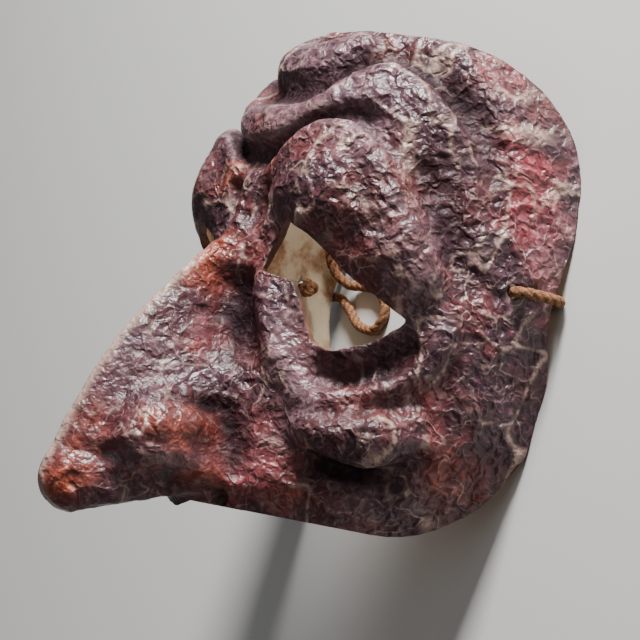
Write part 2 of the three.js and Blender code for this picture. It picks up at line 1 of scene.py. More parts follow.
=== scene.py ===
"""A crumpled leather half mask with a long hooked nose, lying on its rim, and its twisted tie cord.

The form is worked out in millimetres in the mask's own frame: X to the wearer's left temple, Y to
the forehead, Z the way the face looks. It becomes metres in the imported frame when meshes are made.
"""

import bpy
import numpy as np
from mathutils import Matrix, Vector
from mathutils.kdtree import KDTree


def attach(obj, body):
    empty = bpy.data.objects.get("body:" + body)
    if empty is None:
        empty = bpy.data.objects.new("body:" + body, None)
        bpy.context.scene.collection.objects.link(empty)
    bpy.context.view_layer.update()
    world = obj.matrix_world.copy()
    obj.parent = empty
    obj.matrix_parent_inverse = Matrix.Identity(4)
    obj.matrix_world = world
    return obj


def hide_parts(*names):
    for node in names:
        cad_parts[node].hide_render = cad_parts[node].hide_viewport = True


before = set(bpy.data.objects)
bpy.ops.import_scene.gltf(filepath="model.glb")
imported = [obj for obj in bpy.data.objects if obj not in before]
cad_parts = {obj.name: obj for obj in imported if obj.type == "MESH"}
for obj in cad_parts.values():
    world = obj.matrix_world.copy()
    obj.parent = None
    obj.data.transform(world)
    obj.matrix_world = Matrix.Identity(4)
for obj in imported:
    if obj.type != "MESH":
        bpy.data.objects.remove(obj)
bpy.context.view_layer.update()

# Driving dimensions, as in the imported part
WALL = 2.6
FACE_TOP = 87.0
FACE_BOTTOM = -87.0
TO_ORIGIN_Y = 5.73
CORD_RADIUS = 1.9
MM_PER_METRE = 1000

# Head form: height, half width at the rim, depth to the front
STATIONS = np.array([
    (-110, 48, 91), (-87, 56, 92), (-68, 65, 92.5), (-45, 72.5, 92), (0, 77.5, 90), (32, 76, 88),
    (47, 73.5, 86.5), (60, 70, 83), (72, 65, 78), (86, 57, 68), (100, 46, 55),
], float)
HALF_WIDTH = 1
DEPTH = 2

# Swellings of the left half: centre, radii and tilt about X in degrees
BROW = ((32, 25, 61), (27, 29, 31), -10)
HOOD = ((50, 12, 50), (18, 24, 20), -25)
CHEEK = ((50, -55, 51), (19, 15, 26), 0)
WING = ((12, -64, 107), (14, 15, 21), 25)
NOSE_KNOB = ((0, -88, 133), (10, 10, 11), 20)

# The nose is a wedge along a line from its root to its tip, both in the middle plane
NOSE_ROOT = np.array((10.0, 92.0))
NOSE_TIP = np.array((-90.0, 148.0))
NOSE = {
    "length": 115.0, "bulge length": 112.0, "bulge": 38.0,
    "ridge half width": 3.5, "ridge round": 2.0,
    "flare": 0.42, "flare growth": 0.0016, "growth from": 10, "side slope": 0.9,
    "pinch": 2.0, "pinch at": 35, "pinch spread": 22, "under depth": 17, "under slope": 0.86,
}

# Reaches over which neighbouring forms blend
BLEND = {
    "hood": 10, "wing": 5, "knob": 5, "brow": 6, "nose": 8, "cheek": 7,
    "nose ridge": 6, "nose tip": 14, "nose under": 8,
}
MIDDLE_ROUNDING = 0.5
NOT_NOUGHT = 1e-9

# The form is closed off behind the rim and past the cuts at top and bottom
CLOSED_BEHIND_Z = -16
CLOSED_ABOVE_Y = 98
CLOSED_BELOW_Y = -122

# Folds reach this far from the bare surface, and this many widths to the side
FOLD_DEPTH = 16
FOLD_WIDTHS = 2.6

# Folds of the left half: points in degrees round from the middle of the face and height,
# then the ridge's width, its height and the shares of its run over which its two ends fade
FOLDS = {
    "middle forehead lobe": (
        [(0, 50), (12, 51), (25, 59), (36, 62), (45, 54), (53, 40)], 11, 5, 0, 0.35),
    "arched forehead crest": (
        [(16, 61), (26, 70), (36, 70), (46, 61), (56, 48), (63, 30)], 3.8, 5, 0.2, 0.4),
    "valley over the crest": (
        [(0, 62), (11, 62), (21, 72), (31, 78), (43, 73), (56, 60), (64, 45), (69, 22)],
        5.6, -8.5, 0, 0.3),
    "top lobe": ([(0, 74), (12, 76), (26, 84)], 8, 5, 0, 0.3),
    "temple swell": ([(38, 83), (54, 76), (67, 62), (77, 33)], 9, 1.8, 0.3, 0.3),
    "furrow over the brow": (
        [(0, 37), (9, 39), (19, 48), (28, 53), (36, 47), (45, 36)], 4.3, -7.5, 0, 0.35),
    "brow crest": (
        [(5, 29), (14, 40), (26, 47), (36, 40), (43, 26), (50, 10), (58, -12)], 4.4, 4.4, 0.15, 0.25),
    "furrow outside the brow": ([(44, 44), (52, 28), (60, 10), (65, -4)], 6, -5, 0.3, 0.4),
    "fold in the brow": ([(33, 34), (38, 22), (46, 5)], 4.5, -2.2, 0.4, 0.4),
    "hood over the eye": ([(34, 32), (41, 17), (49, 2), (57, -11)], 9, 3, 0.3, 0.25),
    "frown slit": ([(9, 30), (6, 20), (3, 10)], 3.2, -5.5, 0.5, 0.4),
    "frown ridge": ([(0, 32), (0, 8)], 4, 2, 0.3, 0.3),
    "temple furrow": ([(54, 11), (64, 4), (75, -3)], 3, -2, 0.3, 0.3),
    "temple ridge": ([(70, 22), (77, 11), (83, 5)], 3.5, 1.6, 0.3, 0.3),
    "strip beside the eye": ([(11, -3), (16, -18), (23, -35), (31, -52)], 5.2, 5, 0.2, 0.45),
    "hollow beside the nose": ([(7, -2), (8, -20), (14, -42)], 9, -6, 0.3, 0.4),
    "crest under the eye": (
        [(25, -40), (34, -45), (46, -39), (56, -28), (60, -15), (57, -4)], 4.2, 5.2, 0.2, 0.3),
    "trough under the eye": ([(30, -34), (38, -36), (48, -30), (55, -19)], 5.5, -6, 0.25, 0.25),
    "lower lid": ([(30, -29), (39, -28), (50, -18)], 2.6, 1.5, 0.15, 0.15),
    "fold over the cheek": ([(32, -50), (44, -47), (60, -35)], 4.5, -3, 0.3, 0.3),
    "crescent under the cheek": (
        [(31, -64), (42, -69.5), (54, -67.5), (64, -57)], 5, -11, 0.3, 0.3),
    "lip under the crescent": ([(31, -73), (43, -79), (57, -75), (67, -63)], 6, 3, 0.3, 0.3),
    "groove round the nostril wing": (
        [(9, -56.5), (11, -52.5), (13, -54), (15.5, -60.5), (17.5, -69.5), (18, -80)],
        4.6, -6, 0.3, 0.25),
    "fold along the wing": ([(2, -74), (8, -71), (13, -63)], 3.2, 2.4, 0.3, 0.2),
    "lower edge of the wing": ([(4, -84), (8, -77), (12, -74), (15, -79)], 4, 3.4, 0.2, 0.2),
    "cove under the wing": ([(6, -89), (10, -84), (15, -86)], 5, -3.8, 0.2, 0.2),
    "crease in the nose tip": ([(4, -84), (4, -92)], 3, -1.8, 0.3, 0.3),
}
SPANS_BETWEEN_POINTS = 3

# Left eye opening in the plane 70 mm up, cut along a slanted line; across and up the face
EYE_OUTLINE = [
    (13, -5), (16, 3), (21, 10), (25, 13), (36, 9), (49, -2), (60, -8), (70, -14),
    (65, -20), (58, -25), (48, -29), (40, -27), (33, -14), (28, -7),
]
EYE_PLANE_Z = 70.0
EYE_LEAN = 0.35 / 0.94
EYE_CORNER_SHARE = 0.16
EYE_CORNER_PULL = 0.04
EYE_CUT_REACH = 55

# Rim from the side: flats to rest on, a low arch between them and round corners
FLAT_FROM = 33.0
ARCH_HEIGHT = 5.2
ARCH_STEPS = 25
TOP_RADII = (45.0, 48.0)
BOTTOM_RADII = (47.0, 42.0)
CORNER_STEPS = 14
NOSE_CLEAR_Z = 98.0
FRONT_CORNER_Z = 92.0
BEYOND_Y = -127
BEYOND_Z = 200.0
HALF_SPAN = 100.0

# Tie holes in the temples
TIE_HOLE_X = 76
TIE_HOLE_Y = 3.0
TIE_HOLE_Z = 20.0
TIE_HOLE_RADIUS = 2.7
TIE_HOLE_REACH = 15.0
TIE_HOLE_TURN = 15

# The cord's route round the left rim and then inside the mask
CORD_ROUND_RIM = [
    (68.2, 3, 20), (73, 3, 20), (77.5, 3, 19.6), (80.2, 3, 16.5),
    (80.6, 3, 11), (80.3, 3, 6), (78.6, 3, 3), (74.5, 3, 2.2),
]
CORD_INSIDE = [
    (66, 0, 2.1), (54, -12, 2.1), (36, -20, 2.1), (20, -12, 2.1), (16, 6, 2.1), (10, 26, 2.1),
    (-8, 40, 2.1), (-34, 43, 2.1), (-55, 38, 3.2), (-65, 29, 9), (-69.5, 20, 13), (-70, 12, 9),
    (-66.5, 8, 4), (-58, 7.5, 2.1), (-46, 6, 2.1), (-37.5, -1, 2.1), (-42, -9, 2.1), (-55, -8, 2.1),
    (-66, -1, 2.1),
]
CORD_STEP = 0.7
CORD_TWIST_LENGTH = 11.0

# Strands of the cord, its shares of the radius in the grooves and on top of them, and loose fibres
STRANDS = 3
CORD_SIDES = 27
GROOVE_SHARE = 0.82
STRAND_SHARE = 0.2
STRAND_POWER = 0.7
FIBRE_LIFT = 0.035
FIBRE_SEED = 9

# The knots at the cord's two ends
KNOT_SIZE = 0.78
KNOT_FLATNESS = 0.8
KNOT_CORD_RADIUS = 1.75
KNOT_TWIST_LENGTH = 7.0
KNOT_STEPS = 90

# Fineness of the outer and inner faces; the outer face is divided once more
OUTER_CELL = 1.9
INNER_CELL = 3.0
BOX_LOW = np.array((-90.0, -128.0, -20.0))
BOX_HIGH = np.array((90.0, 106.0, 168.0))


def in_metres(points):
    """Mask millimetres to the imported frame's metres."""
    moved = np.asarray(points, float) + (0.0, TO_ORIGIN_Y, 0.0)
    return moved / MM_PER_METRE


# The form as a signed distance

def join(a, b, reach):
    """The nearer of two distances, blended over a reach."""
    h = np.clip(reach - np.abs(a - b), 0, None) / reach
    return np.minimum(a, b) - h * h * reach / 4


def meet(a, b, reach):
    """The farther of two distances, blended over a reach."""
    return -join(-a, -b, reach)


def hermite(t, start, start_slope, end, end_slope, run=1):
    """A cubic between two values this far apart, with the slopes it has there."""
    return ((2 * t**3 - 3 * t**2 + 1) * start + (t**3 - 2 * t**2 + t) * run * start_slope
            + (3 * t**2 - 2 * t**3) * end + (t**3 - t**2) * run * end_slope)


def station_value(y, column):
    """A smooth curve through the head's stations."""
    ys = STATIONS[:, 0]
    values = STATIONS[:, column]
    slopes = np.empty(len(ys))
    slopes[1:-1] = (values[2:] - values[:-2]) / (ys[2:] - ys[:-2])
    slopes[0] = (values[1] - values[0]) / (ys[1] - ys[0])
    slopes[-1] = (values[-1] - values[-2]) / (ys[-1] - ys[-2])
    i = np.clip(np.searchsorted(ys, y) - 1, 0, len(ys) - 2)
    run = ys[i + 1] - ys[i]
    t = np.clip((y - ys[i]) / run, 0, 1)
    return hermite(t, values[i], slopes[i], values[i + 1], slopes[i + 1], run)


def head_distance(x, y, z):
    w = station_value(y, HALF_WIDTH)
    d = station_value(y, DEPTH)
    k0 = np.hypot(x / w, z / d) + NOT_NOUGHT
    k1 = np.hypot(x / w**2, z / d**2) + NOT_NOUGHT
    return k0 * (k0 - 1) / k1


def swelling_distance(x, y, z, swelling):
    (cx, cy, cz), (rx, ry, rz), tilt = swelling
    cos, sin = np.cos(np.radians(tilt)), np.sin(np.radians(tilt))
    px = x - cx
    py = (y - cy) * cos + (z - cz) * sin
    pz = (z - cz) * cos - (y - cy) * sin
    k0 = np.sqrt((px / rx)**2 + (py / ry)**2 + (pz / rz)**2) + NOT_NOUGHT
    k1 = np.sqrt((px / rx**2)**2 + (py / ry**2)**2 + (pz / rz**2)**2) + NOT_NOUGHT
    return k0 * (k0 - 1) / k1


def nose_distance(x, y, z):
    """The nose: s runs along its line, q above the line, below under the bulged ridge."""
    along = (NOSE_TIP - NOSE_ROOT) / np.linalg.norm(NOSE_TIP - NOSE_ROOT)
    s = (y - NOSE_ROOT[0]) * along[0] + (z - NOSE_ROOT[1]) * along[1]
    q = (y - NOSE_ROOT[0]) * along[1] - (z - NOSE_ROOT[1]) * along[0]
    u = np.clip(s / NOSE["bulge length"], -0.3, 1.3)
    below = NOSE["bulge"] * u * (1 - u) * (1.25 - 0.5 * u) - q
    pinch = NOSE["pinch"] * np.exp(-((s - NOSE["pinch at"]) / NOSE["pinch spread"])**2)
    growth = NOSE["flare growth"] * np.clip(below - NOSE["growth from"], 0, None)**2
    half = NOSE["ridge half width"] + NOSE["flare"] * below + growth - pinch
    side = (np.hypot(x, NOSE["ridge round"]) - half) * NOSE["side slope"]
    slope = NOSE["under slope"]
    under = ((s - NOSE["length"]) * slope - NOSE["under depth"] - q) / np.hypot(1, slope)
    d = meet(side, -below, BLEND["nose ridge"])
    d = meet(d, s - NOSE["length"], BLEND["nose tip"])
    return meet(d, under, BLEND["nose under"])


def bare_distance(points):
    """Head, brows, cheeks, nose and nostril wings, before the folds."""
    x = np.sqrt(points[:, 0]**2 + MIDDLE_ROUNDING)
    y, z = points[:, 1], points[:, 2]
    brow = join(swelling_distance(x, y, z, BROW), swelling_distance(x, y, z, HOOD), BLEND["hood"])
    nose = join(nose_distance(x, y, z), swelling_distance(x, y, z, WING), BLEND["wing"])
    nose = join(nose, swelling_distance(x, y, z, NOSE_KNOB), BLEND["knob"])
    d = join(head_distance(x, y, z), brow, BLEND["brow"])
    d = join(d, nose, BLEND["nose"])
    return join(d, swelling_distance(x, y, z, CHEEK), BLEND["cheek"])


def on_face(degrees, y):
    """Points of the bare form at angles round from the middle of the face and at heights."""
    from_outside = 190.0
    steps = 120
    step_share = 0.5
    turn = np.radians(degrees)
    reach = np.full(len(turn), from_outside)
    for _ in range(steps):
        places = np.stack([reach * np.sin(turn), y, reach * np.cos(turn)], 1)
        reach = reach - step_share * bare_distance(places)
    return places


def spline(points, spans):
    """A uniform Catmull-Rom curve through points, with doubled ends."""
    p = np.asarray(points, float)
    padded = np.vstack([p[:1], p, p[-1:]])
    out = []
    for i in range(len(p) - 1):
        p0, p1, p2, p3 = padded[i:i + 4]
        for t in np.arange(spans) / spans:
            out.append(hermite(t, p1, (p2 - p0) / 2, p2, (p3 - p1) / 2))
    out.append(p[-1])
    return np.array(out)


def fold_lines():
    """Each fold's line on the bare form, with its width, height and fades."""
    lines = []
    for points, width, height, first, last in FOLDS.values():
        drawn = spline(points, SPANS_BETWEEN_POINTS)
        lines.append((on_face(drawn[:, 0], drawn[:, 1]), width, height, first, last))
    return lines


FOLD_LINES = fold_lines()


def along_line(p, line):
    """Squared distance from points to a line of spans, and the share of it up to the nearest."""
    nearest = np.full(len(p), np.inf)
    share = np.zeros(len(p))
    spans = len(line) - 1
    for i in range(spans):
        step = line[i + 1] - line[i]
        t = np.clip(((p - line[i]) @ step) / (step @ step), 0, 1)
        gap = ((p - line[i] - t[:, None] * step)**2).sum(1)
        closer = gap < nearest
        nearest[closer] = gap[closer]
        share[closer] = (i + t[closer]) / spans
    return nearest, share


def fade(u, share):
    return np.clip(u / share, 0, 1) if share else 1.0


def face_distance(points):
    """The outer face, closed behind and beyond the rim's cut."""
    d = bare_distance(points)
    mirrored = points.copy()
    mirrored[:, 0] = np.sqrt(points[:, 0]**2 + MIDDLE_ROUNDING)
    near = np.abs(d) < FOLD_DEPTH
    for line, width, height, first, last in FOLD_LINES:
        margin = FOLD_WIDTHS * width
        boxed = (mirrored > line.min(0) - margin) & (mirrored < line.max(0) + margin)
        chosen = np.flatnonzero(near & np.all(boxed, 1))
        if len(chosen) == 0:
            continue
        gap, share = along_line(mirrored[chosen], line)
        strength = fade(share, first) * fade(1 - share, last)
        smooth = strength * strength * (3 - 2 * strength)
        d[chosen] -= height * smooth * np.exp(-gap / width**2)
    d = np.maximum(d, CLOSED_BEHIND_Z - points[:, 2])
    d = np.maximum(d, points[:, 1] - CLOSED_ABOVE_Y)
    return np.maximum(d, CLOSED_BELOW_Y - points[:, 1])


# Meshes worked out from the form

CORNERS = [(i, j, k) for i in (0, 1) for j in (0, 1) for k in (0, 1)]


def shifted(grid, corner, shape):
    """The part of a grid that has this shape and starts at a corner."""
    return grid[tuple(slice(start, start + size) for start, size in zip(corner, shape))]


def sampled(f, cell):
    """The form's values on a grid, fine only in the blocks of cells near its surface."""
    block = 6
    near_blocks = 1.3
    at_once = 400000
    counts = np.ceil((BOX_HIGH - BOX_LOW) / cell).astype(int) + 1
    blocks = (counts + block - 1) // block
    coarse = blocks + 1
    axes = [BOX_LOW[i] + np.arange(coarse[i]) * cell * block for i in range(3)]
    grid = np.stack(np.meshgrid(*axes, indexing="ij"), -1).reshape(-1, 3)
    rough = f(grid).reshape(coarse)
    near = np.abs(rough) < cell * block * near_blocks
    wanted = np.zeros(blocks, bool)
    for corner in CORNERS:
        wanted |= shifted(near, corner, blocks)
    field = rough[:-1, :-1, :-1]
    for axis in range(3):
        field = np.repeat(field, block, axis)
        wanted = np.repeat(wanted, block, axis)
    field = np.pad(field, ((0, 1), (0, 1), (0, 1)), mode="edge").astype(np.float32)
    fine = np.zeros(field.shape, bool)
    for corner in CORNERS:
        part = shifted(fine, corner, wanted.shape)
        part |= wanted
    index = np.argwhere(fine)
    values = np.empty(len(index), np.float32)
    for start in range(0, len(index), at_once):
        values[start:start + at_once] = f(BOX_LOW + index[start:start + at_once] * cell)
    field[fine] = values
    return field


def cell_edges():
    """The twelve edges of a cell: the axis along each, and the corners at its two ends."""
    for axis in range(3):
        for p in (0, 1):
            for q in (0, 1):
                low = [0, 0, 0]
                low[(axis + 1) % 3] = p
                low[(axis + 2) % 3] = q
                high = list(low)
                high[axis] = 1
                yield axis, low, high


def places_in_cells(field, cell):
    """A vertex amid the crossings of each cell that the surface crosses, and the cells' numbers."""
    inside = field < 0
    shape = np.array(field.shape) - 1
    filled = np.zeros(shape, np.int8)
    for corner in CORNERS:
        filled += shifted(inside, corner, shape)
    crossed_cells = (filled > 0) & (filled < len(CORNERS))
    cells = np.argwhere(crossed_cells)
    number = -np.ones(shape, np.int64)
    number[crossed_cells] = np.arange(len(cells))
    total = np.zeros((len(cells), 3))
    crossings = np.zeros(len(cells))
    for axis, low, high in cell_edges():
        v1 = field[tuple((cells + low).T)]
        v2 = field[tuple((cells + high).T)]
        crossed = (v1 < 0) != (v2 < 0)
        t = np.where(crossed, v1 / np.where(crossed, v1 - v2, 1), 0)
        place = (cells + np.array(low)).astype(float)
        place[:, axis] += t
        total += place * crossed[:, None]
        crossings += crossed
    return BOX_LOW + total / crossings[:, None] * cell, number


def quads_round_edges(inside, number):
    """A quad of the four cells round each edge of the grid that the surface crosses."""
    shape = number.shape
    quads = []
    for axis in range(3):
        b, c = (axis + 1) % 3, (axis + 2) % 3
        low, high = [slice(None)] * 3, [slice(None)] * 3
        low[axis] = slice(0, -1)
        high[axis] = slice(1, None)
        near_side, far_side = inside[tuple(low)], inside[tuple(high)]
        edges = np.argwhere(near_side != far_side)
        whole = (edges[:, b] > 0) & (edges[:, c] > 0)
        whole &= (edges[:, b] < shape[b]) & (edges[:, c] < shape[c])
        edges = edges[whole]
        flipped = near_side[tuple(edges.T)]
        ids = []
        for step_b, step_c in ((-1, -1), (0, -1), (0, 0), (-1, 0)):
            around = edges.copy()
            around[:, b] += step_b
            around[:, c] += step_c
            ids.append(number[tuple(around.T)])
        quad = np.stack(ids, 1)
        quad[~flipped] = quad[~flipped][:, ::-1]
        quads.append(quad)
    return np.concatenate(quads)


def surface_nets(f, cell):
    """Quads of the form's surface, with one vertex in each cell that it crosses."""
    field = sampled(f, cell)
    vertices, number = places_in_cells(field, cell)
    return vertices, quads_round_edges(field < 0, number)


def gradient(f, vertices):
    reach = 0.25
    slopes = np.empty_like(vertices)
    for i in range(3):
        step = np.zeros(3)
        step[i] = reach
        slopes[:, i] = (f(vertices + step) - f(vertices - step)) / (2 * reach)
    return slopes


def settled(f, vertices, rounds):
    """Vertices moved onto the surface."""
    for _ in range(rounds):
        slope = gradient(f, vertices)
        vertices = vertices - slope * (f(vertices) / (slope * slope).sum(1))[:, None]
    return vertices


def divided(vertices, quads):
    """Each quad cut into four through its middle."""
    edges = np.sort(np.stack([quads, np.roll(quads, -1, 1)], -1).reshape(-1, 2), 1)
    unique, index = np.unique(edges, axis=0, return_inverse=True)
    middle = len(vertices) + index.reshape(-1, 4)
    centre = len(vertices) + len(unique) + np.arange(len(quads))
    grown = np.concatenate([vertices, vertices[unique].mean(1), vertices[quads].mean(1)])
    parts = [np.stack([quads[:, k], middle[:, k], centre, middle[:, k - 1]], 1) for k in range(4)]
    return grown, np.concatenate(parts)


# The crumpled skin: flat facets between sharp creases, which lie where bent noise crosses nought

NOISE_LATTICE = 64

# Creases run longer up and down the face than across it
STRETCH = np.array((1.25, 0.7, 1.0))

# Noise of the skin: spacing in millimetres and seed
COARSE_FACETS = (11.0, 11)
MIDDLE_FACETS = (6.0, 23)
SWELLS = (13, 5)
CREST_BREAKS = (13, 51)
LINE_BREAKS = (17, 71)
BROAD_PATCHES = (15, 41)
SMALL_PATCHES = (6, 47)
BROAD_GREYS = (19, 61)
SMALL_GREYS = (7, 67)

# Limits of the push along the normals, in millimetres
MOST_OUTWARD = 1.0
MOST_INWARD = -0.8

# A fold this high or deep in millimetres is felt in full by the colours: by the painted shade
# in its furrow and the painted highlight on its ridge
FULL_FOLD = 5

# Half width of the painted highlight along the ridge of the nose, and where it starts
BRIDGE_HALF_WIDTH = 2.8
BRIDGE_FROM_Z = 96
BRIDGE_FADE = 10


def soft_noise(points, spacing, seed):
    """Smooth noise from -1 to 1 with features about this many millimetres apart."""
    size = NOISE_LATTICE
    lattice = np.random.default_rng(seed).uniform(-1, 1, (size, size, size))
    place = points / spacing + size / 2
    cell = np.floor(place).astype(int)
    t = place - cell
    t = t * t * t * (t * (6 * t - 15) + 10)
    total = np.zeros(len(points))
    for i, j, k in CORNERS:
        weight = (t[:, 0] if i else 1 - t[:, 0]) * (t[:, 1] if j else 1 - t[:, 1])
        weight = weight * (t[:, 2] if k else 1 - t[:, 2])
        corner = (cell + (i, j, k)) % size
        total += weight * lattice[corner[:, 0], corner[:, 1], corner[:, 2]]
    return total


def warped(points, spacing, amount, seed):
    shift = [soft_noise(points, spacing, seed + i) for i in range(3)]
    return points + amount * np.stack(shift, 1)


def crumpled(points, spacing, seed):
    """Flat facets between sharp winding creases, and how near each point is to a raised crease."""
    crest_reach = 0.55
    bend_spacing, bend = 2.6 * spacing, 1.1 * spacing
    crest_seed, valley_seed = seed + 7, seed + 13
    bent = warped(points, bend_spacing, bend, seed) * STRETCH
    from_crest = np.abs(soft_noise(bent, spacing, crest_seed))
    from_valley = np.abs(soft_noise(bent, spacing, valley_seed))
    return from_valley - from_crest, np.clip(1 - from_crest / crest_reach, 0, 1)


# Where the leather is smoother, warmer and grey-pink, the grey-pink partly a painted sheen, and where
# painted shade darkens it: places on the left half, their radii and how far they are so

CALM_PLACES = [
    ((26, -70, 100), (16, 22, 22), 0.9),
    ((8, -70, 128), (16, 30, 24), 0.9),
    ((10, -30, 98), (12, 30, 18), 0.85),
    ((0, -50, 128), (5, 60, 45), 0.95),
    ((2, -88, 92), (9, 5, 7), 1.0),
    ((18, 49, 87), (18, 14, 14), 0.7),
    ((44, -47, 77), (12, 10, 10), 0.5),
    ((38, -28, 80), (8, 12, 8), 0.6),
]
# Grey-pink, partly a painted sheen on the smooth forehead lobe, brow, strip beside the eye and temple
# edge
GREY_AND_SHEEN_PLACES = [
    ((18, 49, 87), (16, 9, 10), 0.95),
    ((33, 54, 76), (12, 9, 10), 0.8),
    ((45, 56, 68), (12, 10, 12), 0.75),
    ((52, 43, 77), (14, 9, 12), 0.7),
    ((36, -28, 82), (7, 12, 8), 0.6),
    ((45, -47, 77), (10, 9, 8), 0.85),
    ((6, 69, 81), (12, 8, 10), 0.45),
    ((76, 27, 5), (6, 26, 8), 0.4),
    ((69, 0, 54), (7, 16, 10), 0.5),
]
PINK_PLACES = [
    ((75, 22, 18), (10, 20, 16), 0.95),
    ((71, 50, 22), (9, 10, 12), 0.9),
    ((74, 46, 6), (8, 16, 8), 0.5),
    ((50, 76, 40), (14, 8, 12), 0.35),
    ((72, -14, 22), (8, 20, 14), 0.45),
    ((9, -30, 92), (6, 8, 9), 0.6),
    ((30, -68, 84), (10, 12, 10), 0.5),
    ((70, -45, 28), (8, 18, 16), 0.4),
]
ORANGE_PLACES = [
    ((7, -89, 141), (12, 9, 9), 0.95),
    ((6, -74, 136), (7, 9, 9), 0.45),
    ((26, -64, 106), (9, 8, 12), 0.75),
    ((23, -63, 120), (7, 6, 9), 0.5),
    ((20, -80, 103), (12, 6, 12), 0.95),
    ((14, 31, 88), (5, 6, 6), 0.7),
    ((2, -4, 103), (4, 12, 10), 0.8),
    ((46, -79, 62), (14, 6, 14), 0.35),
    ((64, -64, 24), (10, 12, 14), 0.4),
]
# Painted shade: darker in the groove round the nostril wing, the crescent under the cheek, beside the
# nose and in the temple's hollows
PAINTED_SHADE_PLACES = [
    ((12, -22, 86), (4, 11, 6), 0.6),
    ((55, -58, 62), (14, 8, 14), 0.55),
    ((50, -68, 57), (16, 4.5, 14), 1.0),
    ((18, -53, 97), (6, 5, 9), 0.75),
    ((21, -60, 88), (5, 7, 6), 0.7),
    ((25, -70, 86), (5, 9, 6), 0.55),
    ((20, -85, 98), (9, 4, 9), 0.4),
    ((26, -55, 96), (6, 8, 8), 0.8),
    ((66, 40, 50), (10, 18, 14), 0.5),
    ((60, 66, 40), (12, 8, 12), 0.5),
    ((8, -50, 118), (5, 22, 10), 0.25),
]

BURGUNDY = np.array((0.060, 0.020, 0.030))
BROWN_RED = np.array((0.115, 0.030, 0.026))
PINK_RED = np.array((0.290, 0.045, 0.055))
ORANGE_RED = np.array((0.400, 0.070, 0.022))
GREY_PINK = np.array((0.235, 0.140, 0.160))
# Brown-black of the painted shade
PAINTED_SHADE_BROWN = np.array((0.022, 0.011, 0.013))


def share_of(points, places):
    """How far points belong to any of these places on either half."""
    folded = np.abs(points[:, :1])
    both = np.concatenate([folded, points[:, 1:]], 1)
    out = np.zeros(len(points))
    for centre, radii, most in places:
        gap = ((both - centre) / radii)**2
        out = np.maximum(out, most * np.exp(-gap.sum(1)))
    return out


def blend(colours, other, share):
    return colours + (other - colours) * np.clip(share, 0, 1)[:, None]


def folds_felt(points):
    """Raised and sunken parts of the folds at points of the face, in millimetres."""
    felt_widths = 0.8
    mirrored = points.copy()
    mirrored[:, 0] = np.abs(points[:, 0])
    raised = np.zeros(len(points))
    sunken = np.zeros(len(points))
    for line, width, height, first, last in FOLD_LINES:
        gap, share = along_line(mirrored, line)
        strength = fade(share, first) * fade(1 - share, last)
        felt = height * strength * np.exp(-gap / (felt_widths * width)**2)
        raised = np.maximum(raised, felt)
        sunken = np.minimum(sunken, felt)
    return raised, -sunken


def crumples(points, relief):
    """How far each point is pushed out, and how pale the crests of its creases are, the paleness
    partly wear and partly painted highlight.
    """
    coarse_facets, coarse = crumpled(points, *COARSE_FACETS)
    middle_facets, middle = crumpled(points, *MIDDLE_FACETS)
    push = 0.85 * coarse_facets + 0.5 * middle_facets + 0.12 * coarse**4
    push = (0.1 + 0.9 * relief) * push + 0.3 * soft_noise(points, *SWELLS)
    where = np.clip(0.5 + 0.9 * soft_noise(points, *CREST_BREAKS), 0, 1)
    crest = np.clip(1.1 * coarse**8 * where + 0.6 * middle**8 * (1 - 0.6 * where), 0, 1)
    return np.clip(push, MOST_INWARD, MOST_OUTWARD), crest * (0.4 + 0.6 * relief)


def leather_colours(points, painted_shade):
    """Burgundy with warm and grey patches, its own colours in the zones, painted sheen on the smooth
    lobes and painted shade in the furrows and hollows.
    """
    patches = soft_noise(points, *BROAD_PATCHES) + 0.6 * soft_noise(points, *SMALL_PATCHES)
    greys = soft_noise(points, *BROAD_GREYS) + 0.7 * soft_noise(points, *SMALL_GREYS)
    greys = np.clip(greys, 0, 1)
    pink = share_of(points, PINK_PLACES) * (0.65 + 0.9 * patches) + 0.2 * patches
    orange = share_of(points, ORANGE_PLACES) * (0.75 + 0.6 * patches)
    # Grey-pink: random patches of the leather's own colour, and painted sheen in the smooth places
    grey_and_sheen = 0.75 * share_of(points, GREY_AND_SHEEN_PLACES) * (0.8 + 0.4 * patches) + 0.35 * greys
    colours = np.tile(BURGUNDY, (len(points), 1))
    colours = blend(colours, BROWN_RED, 0.35 + 0.6 * patches)
    colours = blend(colours, PINK_RED, pink)
    colours = blend(colours, ORANGE_RED, orange)
    colours = blend(colours, GREY_PINK, grey_and_sheen)
    # Painted shade: brown-black in the furrows and hollows
    return blend(colours, PAINTED_SHADE_BROWN, painted_shade)


